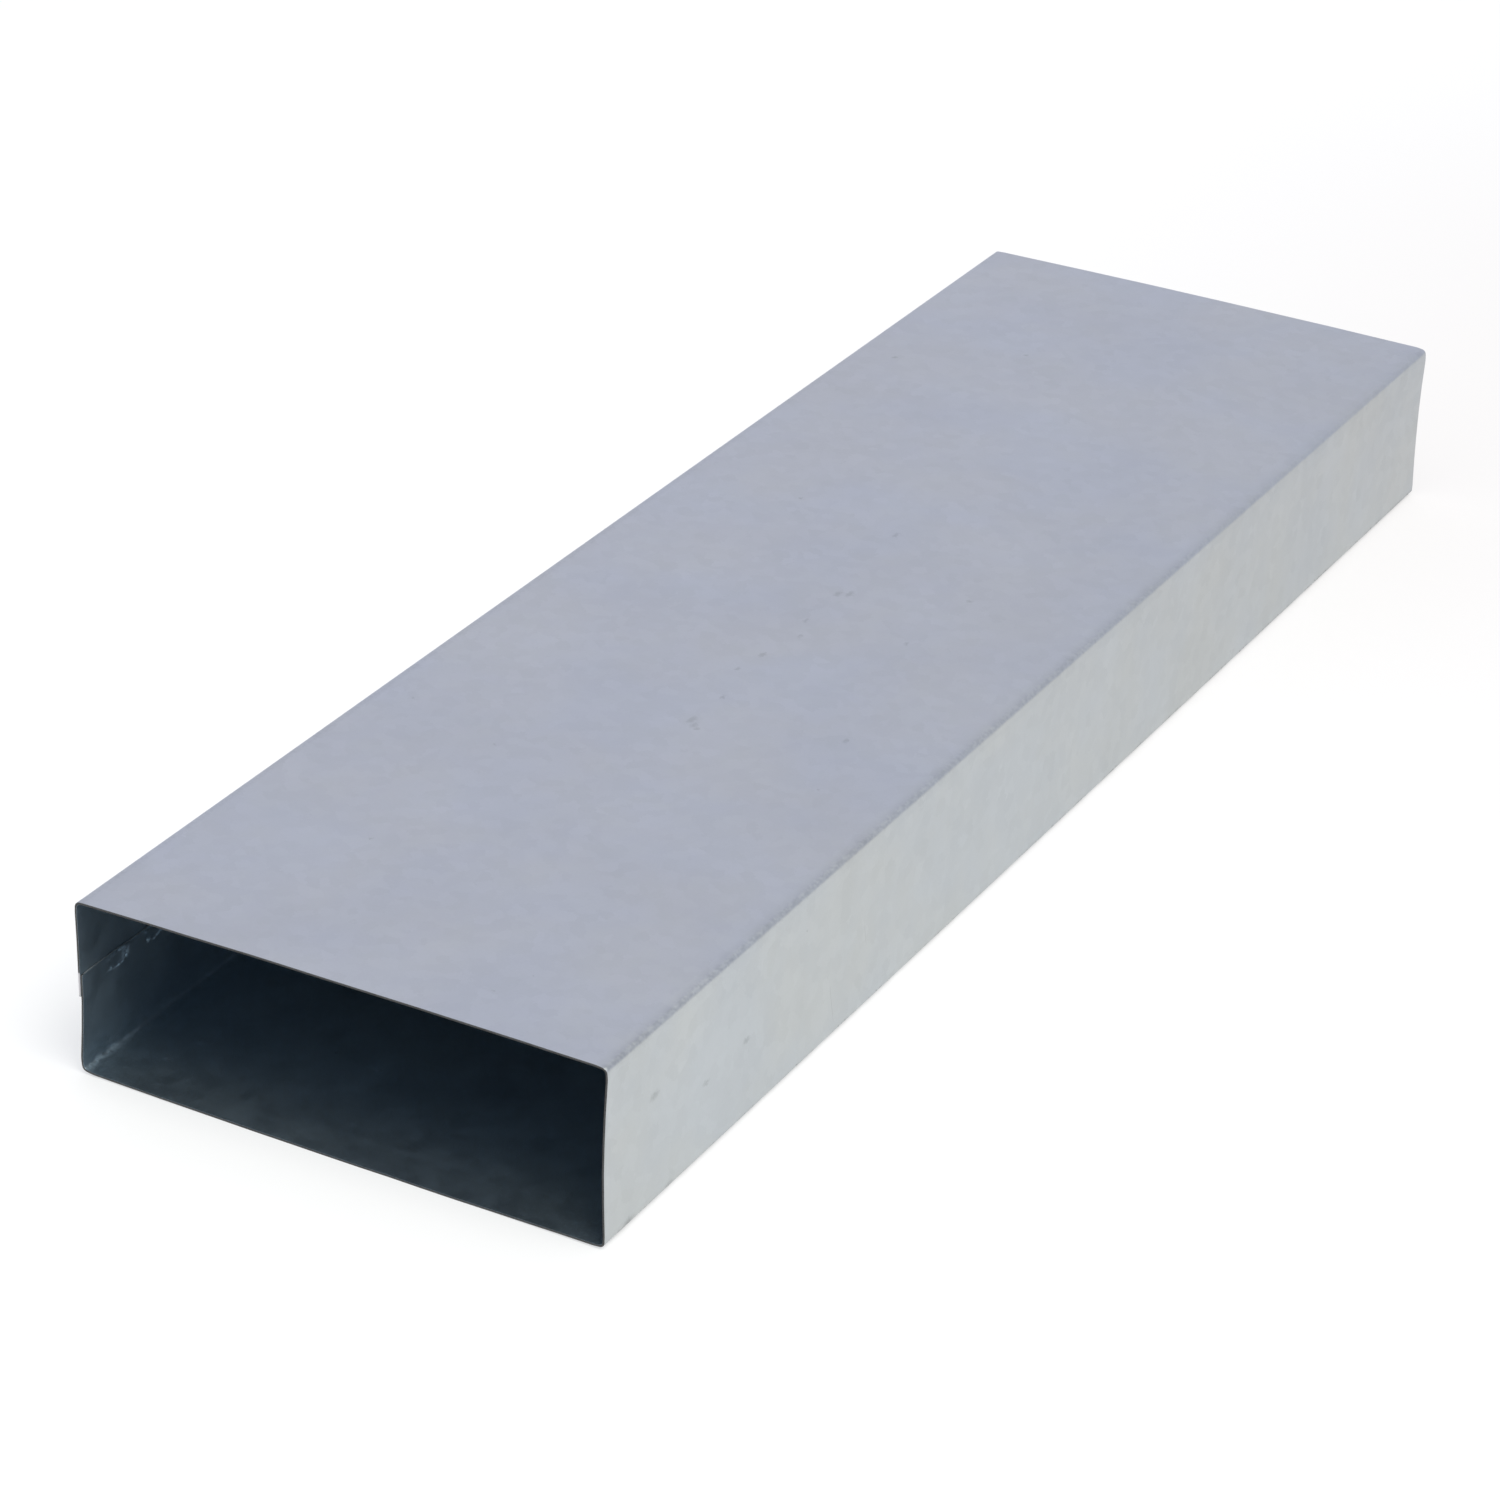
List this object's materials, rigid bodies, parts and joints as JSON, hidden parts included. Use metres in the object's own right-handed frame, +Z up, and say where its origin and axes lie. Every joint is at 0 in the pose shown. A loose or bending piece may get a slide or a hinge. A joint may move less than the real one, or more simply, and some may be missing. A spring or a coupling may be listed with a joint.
{
  "type": "flat channel duct",
  "caption": "Straight length of flat rectangular ventilation duct in galvanised sheet steel, open at both mouths, closed by a spot-welded lap seam along one narrow wall.",
  "frame": {"origin": "middle of the underside, half-way between the two mouths", "axes": "+Y along the duct from the front mouth to the rear mouth, +X across its width away from the seamed wall, +Z up"},
  "size_m": [0.15, 0.5, 0.05],
  "materials": {
    "galvanised_sheet": "satin"
  },
  "bodies": {
    "root": {"channel_duct": "galvanised_sheet"}
  },
  "joints": []
}
